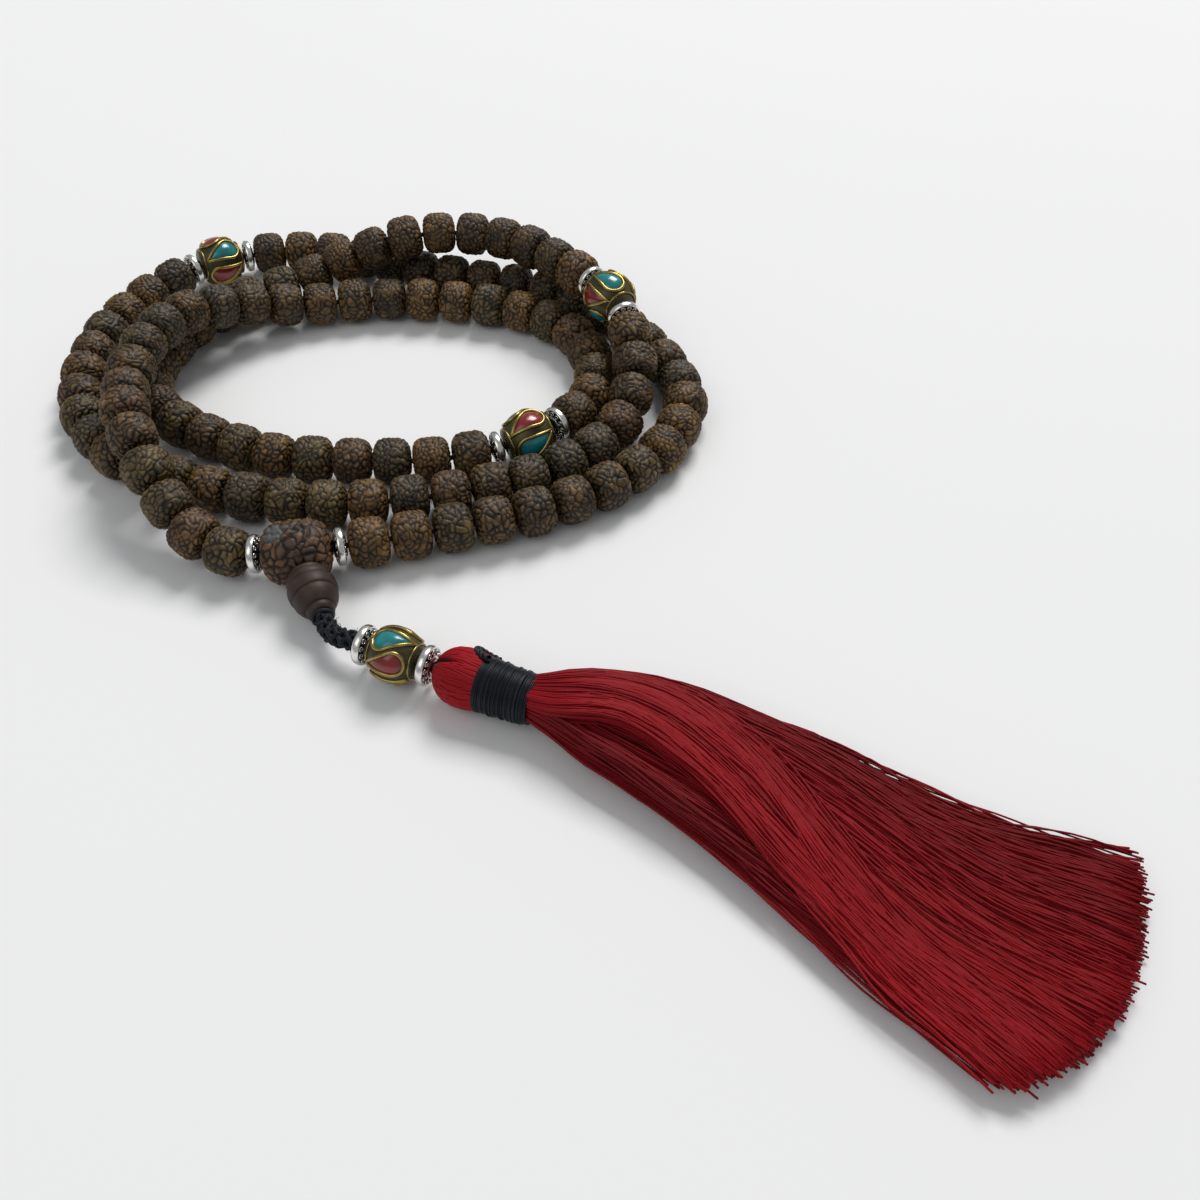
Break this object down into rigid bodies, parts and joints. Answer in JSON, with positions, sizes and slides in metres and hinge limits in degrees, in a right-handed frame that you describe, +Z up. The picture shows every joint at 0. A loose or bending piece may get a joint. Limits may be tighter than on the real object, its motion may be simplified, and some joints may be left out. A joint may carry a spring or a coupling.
{
  "type": "mala prayer beads",
  "caption": "String of seed prayer beads with inlaid counter beads, a three-hole bead with a stepped cap, a braided cord and a tassel, laid in loose coils.",
  "frame": {"origin": "centre of the overall box, on the surface it lies on", "axes": "+Z up, the shortest extent; +X to the side that the tassel points to; +Y away from the tassel across the coils"},
  "size_m": [0.1952, 0.2096, 0.0208],
  "materials": {
    "seed": "rough, cracked into blocks",
    "silver": "antique silver",
    "inlay_body": "dark aged",
    "inlay_wire": "polished",
    "turquoise": "polished",
    "coral": "polished",
    "cap_wood": "satin",
    "string": "matt",
    "braid": "matt",
    "tassel_red": "silky",
    "wrap_thread": "silky"
  },
  "bodies": {
    "mala": {"guru_bead": "seed", "string": "string", "string_knot_and_tail": "string", "seeds_run_1": "seed", "seeds_run_2": "seed", "seeds_run_3": "seed", "seeds_run_4": "seed"},
    "braid_link": {"braid": "braid"},
    "tassel": {"tassel_cord": "braid", "tassel_head": "tassel_red", "tassel_tie_loop": "wrap_thread", "tassel_wrap": "wrap_thread"},
    "skirt": {"tassel_skirt": "tassel_red"},
    "stupa_cap": {"stupa_cap": "cap_wood"},
    "guru_spacer_a": {"guru_spacer_a": "silver"},
    "seed_1_09": {"seed_1_09": "seed"},
    "seed_1_18": {"seed_1_18": "seed"},
    "counter_1_spacer_a": {"counter_1_spacer_a": "silver"},
    "counter_1": {"counter_1_body": "inlay_body", "counter_1_wires": "inlay_wire", "counter_1_turquoise": "turquoise", "counter_1_coral": "coral"},
    "counter_1_spacer_b": {"counter_1_spacer_b": "silver"},
    "seed_2_09": {"seed_2_09": "seed"},
    "seed_2_18": {"seed_2_18": "seed"},
    "counter_2_spacer_a": {"counter_2_spacer_a": "silver"},
    "counter_2": {"counter_2_body": "inlay_body", "counter_2_wires": "inlay_wire", "counter_2_turquoise": "turquoise", "counter_2_coral": "coral"},
    "counter_2_spacer_b": {"counter_2_spacer_b": "silver"},
    "seed_3_09": {"seed_3_09": "seed"},
    "seed_3_18": {"seed_3_18": "seed"},
    "counter_3_spacer_a": {"counter_3_spacer_a": "silver"},
    "counter_3": {"counter_3_body": "inlay_body", "counter_3_wires": "inlay_wire", "counter_3_turquoise": "turquoise", "counter_3_coral": "coral"},
    "counter_3_spacer_b": {"counter_3_spacer_b": "silver"},
    "seed_4_09": {"seed_4_09": "seed"},
    "seed_4_18": {"seed_4_18": "seed"},
    "guru_spacer_b": {"guru_spacer_b": "silver"},
    "tassel_spacer_a": {"tassel_spacer_a": "silver"},
    "tassel_bead": {"tassel_bead_body": "inlay_body", "tassel_bead_wires": "inlay_wire", "tassel_bead_turquoise": "turquoise", "tassel_bead_coral": "coral"},
    "tassel_spacer_b": {"tassel_spacer_b": "silver"}
  },
  "joints": [
    {"name": "tassel_swing", "type": "hinge", "parent": "mala", "child": "braid_link", "pos_m": [-0.03035, -0.0227, 0.00463], "axis": [0, 0, 1], "range_deg": [-35, 20]},
    {"name": "tassel_lift", "type": "hinge", "parent": "braid_link", "child": "tassel", "pos_m": [-0.0259, -0.0268, 0.0053], "axis": [-0.3827, -0.9239, 0], "range_deg": [0, 75]},
    {"name": "skirt_sway", "type": "hinge", "parent": "tassel", "child": "skirt", "pos_m": [0.0111, -0.04213, 0.0053], "axis": [0, 0, 1], "range_deg": [-20, 20]},
    {"name": "stupa_spin", "type": "hinge", "parent": "mala", "child": "stupa_cap", "pos_m": [-0.038, -0.0063, 0.00605], "axis": [0.4213, -0.9035, -0.0785], "continuous": true},
    {"name": "guru_spacer_a_spin", "type": "hinge", "parent": "mala", "child": "guru_spacer_a", "pos_m": [-0.03061, -0.00414, 0.0054], "axis": [0.9564, 0.2796, -0.0846], "continuous": true},
    {"name": "seed_1_09_spin", "type": "hinge", "parent": "mala", "child": "seed_1_09", "pos_m": [0.02935, 0.02429, 0.0049], "axis": [0.5549, 0.832, 0], "continuous": true},
    {"name": "seed_1_18_spin", "type": "hinge", "parent": "mala", "child": "seed_1_18", "pos_m": [0.00455, 0.08176, 0.0049], "axis": [-0.9191, 0.3939, 0], "continuous": true},
    {"name": "counter_1_spacer_a_spin", "type": "hinge", "parent": "mala", "child": "counter_1_spacer_a", "pos_m": [-0.0679, 0.09704, 0.00512], "axis": [-0.9151, -0.3977, 0.0664], "continuous": true},
    {"name": "counter_1_spin", "type": "hinge", "parent": "mala", "child": "counter_1", "pos_m": [-0.07371, 0.09372, 0.00575], "axis": [-0.83, -0.5499, 0.0927], "continuous": true},
    {"name": "counter_1_spacer_b_spin", "type": "hinge", "parent": "mala", "child": "counter_1_spacer_b", "pos_m": [-0.079, 0.08959, 0.00596], "axis": [-0.7375, -0.6748, -0.0285], "continuous": true},
    {"name": "seed_2_09_spin", "type": "hinge", "parent": "mala", "child": "seed_2_09", "pos_m": [-0.0846, 0.02796, 0.0049], "axis": [0.616, -0.7877, 0], "continuous": true},
    {"name": "seed_2_18_spin", "type": "hinge", "parent": "mala", "child": "seed_2_18", "pos_m": [-0.0193, 0.00935, 0.0049], "axis": [0.9865, 0.1637, 0], "continuous": true},
    {"name": "counter_2_spacer_a_spin", "type": "hinge", "parent": "mala", "child": "counter_2_spacer_a", "pos_m": [0.02203, 0.05744, 0.01423], "axis": [-0.333, 0.9203, 0.2054], "continuous": true},
    {"name": "counter_2_spin", "type": "hinge", "parent": "mala", "child": "counter_2", "pos_m": [0.01907, 0.06339, 0.01507], "axis": [-0.5431, 0.8386, 0.0417], "continuous": true},
    {"name": "counter_2_spacer_b_spin", "type": "hinge", "parent": "mala", "child": "counter_2_spacer_b", "pos_m": [0.01523, 0.06891, 0.01521], "axis": [-0.5986, 0.801, 0.0047], "continuous": true},
    {"name": "seed_3_09_spin", "type": "hinge", "parent": "mala", "child": "seed_3_09", "pos_m": [-0.04269, 0.08732, 0.00948], "axis": [-0.9202, -0.1617, -0.3566], "continuous": true},
    {"name": "seed_3_18_spin", "type": "hinge", "parent": "mala", "child": "seed_3_18", "pos_m": [-0.0742, 0.03779, 0.0049], "axis": [0.6447, -0.7645, 0], "continuous": true},
    {"name": "counter_3_spacer_a_spin", "type": "hinge", "parent": "mala", "child": "counter_3_spacer_a", "pos_m": [-0.00344, 0.02407, 0.00515], "axis": [0.9353, 0.345, 0.0782], "continuous": true},
    {"name": "counter_3_spin", "type": "hinge", "parent": "mala", "child": "counter_3", "pos_m": [0.00264, 0.02683, 0.00592], "axis": [0.8762, 0.4666, 0.1207], "continuous": true},
    {"name": "counter_3_spacer_b_spin", "type": "hinge", "parent": "mala", "child": "counter_3_spacer_b", "pos_m": [0.00809, 0.0307, 0.00617], "axis": [0.7341, 0.6774, -0.0464], "continuous": true},
    {"name": "seed_4_09_spin", "type": "hinge", "parent": "mala", "child": "seed_4_09", "pos_m": [-0.01607, 0.07749, 0.0049], "axis": [-0.989, 0.1482, 0], "continuous": true},
    {"name": "seed_4_18_spin", "type": "hinge", "parent": "mala", "child": "seed_4_18", "pos_m": [-0.07491, 0.05276, 0.01469], "axis": [-0.3359, -0.9404, 0.0537], "continuous": true},
    {"name": "guru_spacer_b_spin", "type": "hinge", "parent": "mala", "child": "guru_spacer_b", "pos_m": [-0.0457, -0.00617, 0.00545], "axis": [0.9969, -0.0162, 0.077], "continuous": true},
    {"name": "tassel_spacer_a_spin", "type": "hinge", "parent": "tassel", "child": "tassel_spacer_a", "pos_m": [-0.0228, -0.02808, 0.0053], "axis": [0.9239, -0.3827, 0], "continuous": true},
    {"name": "tassel_bead_spin", "type": "hinge", "parent": "tassel", "child": "tassel_bead", "pos_m": [-0.01726, -0.03038, 0.0053], "axis": [0.9239, -0.3827, 0], "continuous": true},
    {"name": "tassel_spacer_b_spin", "type": "hinge", "parent": "tassel", "child": "tassel_spacer_b", "pos_m": [-0.01172, -0.03267, 0.0053], "axis": [0.9239, -0.3827, 0], "continuous": true}
  ]
}
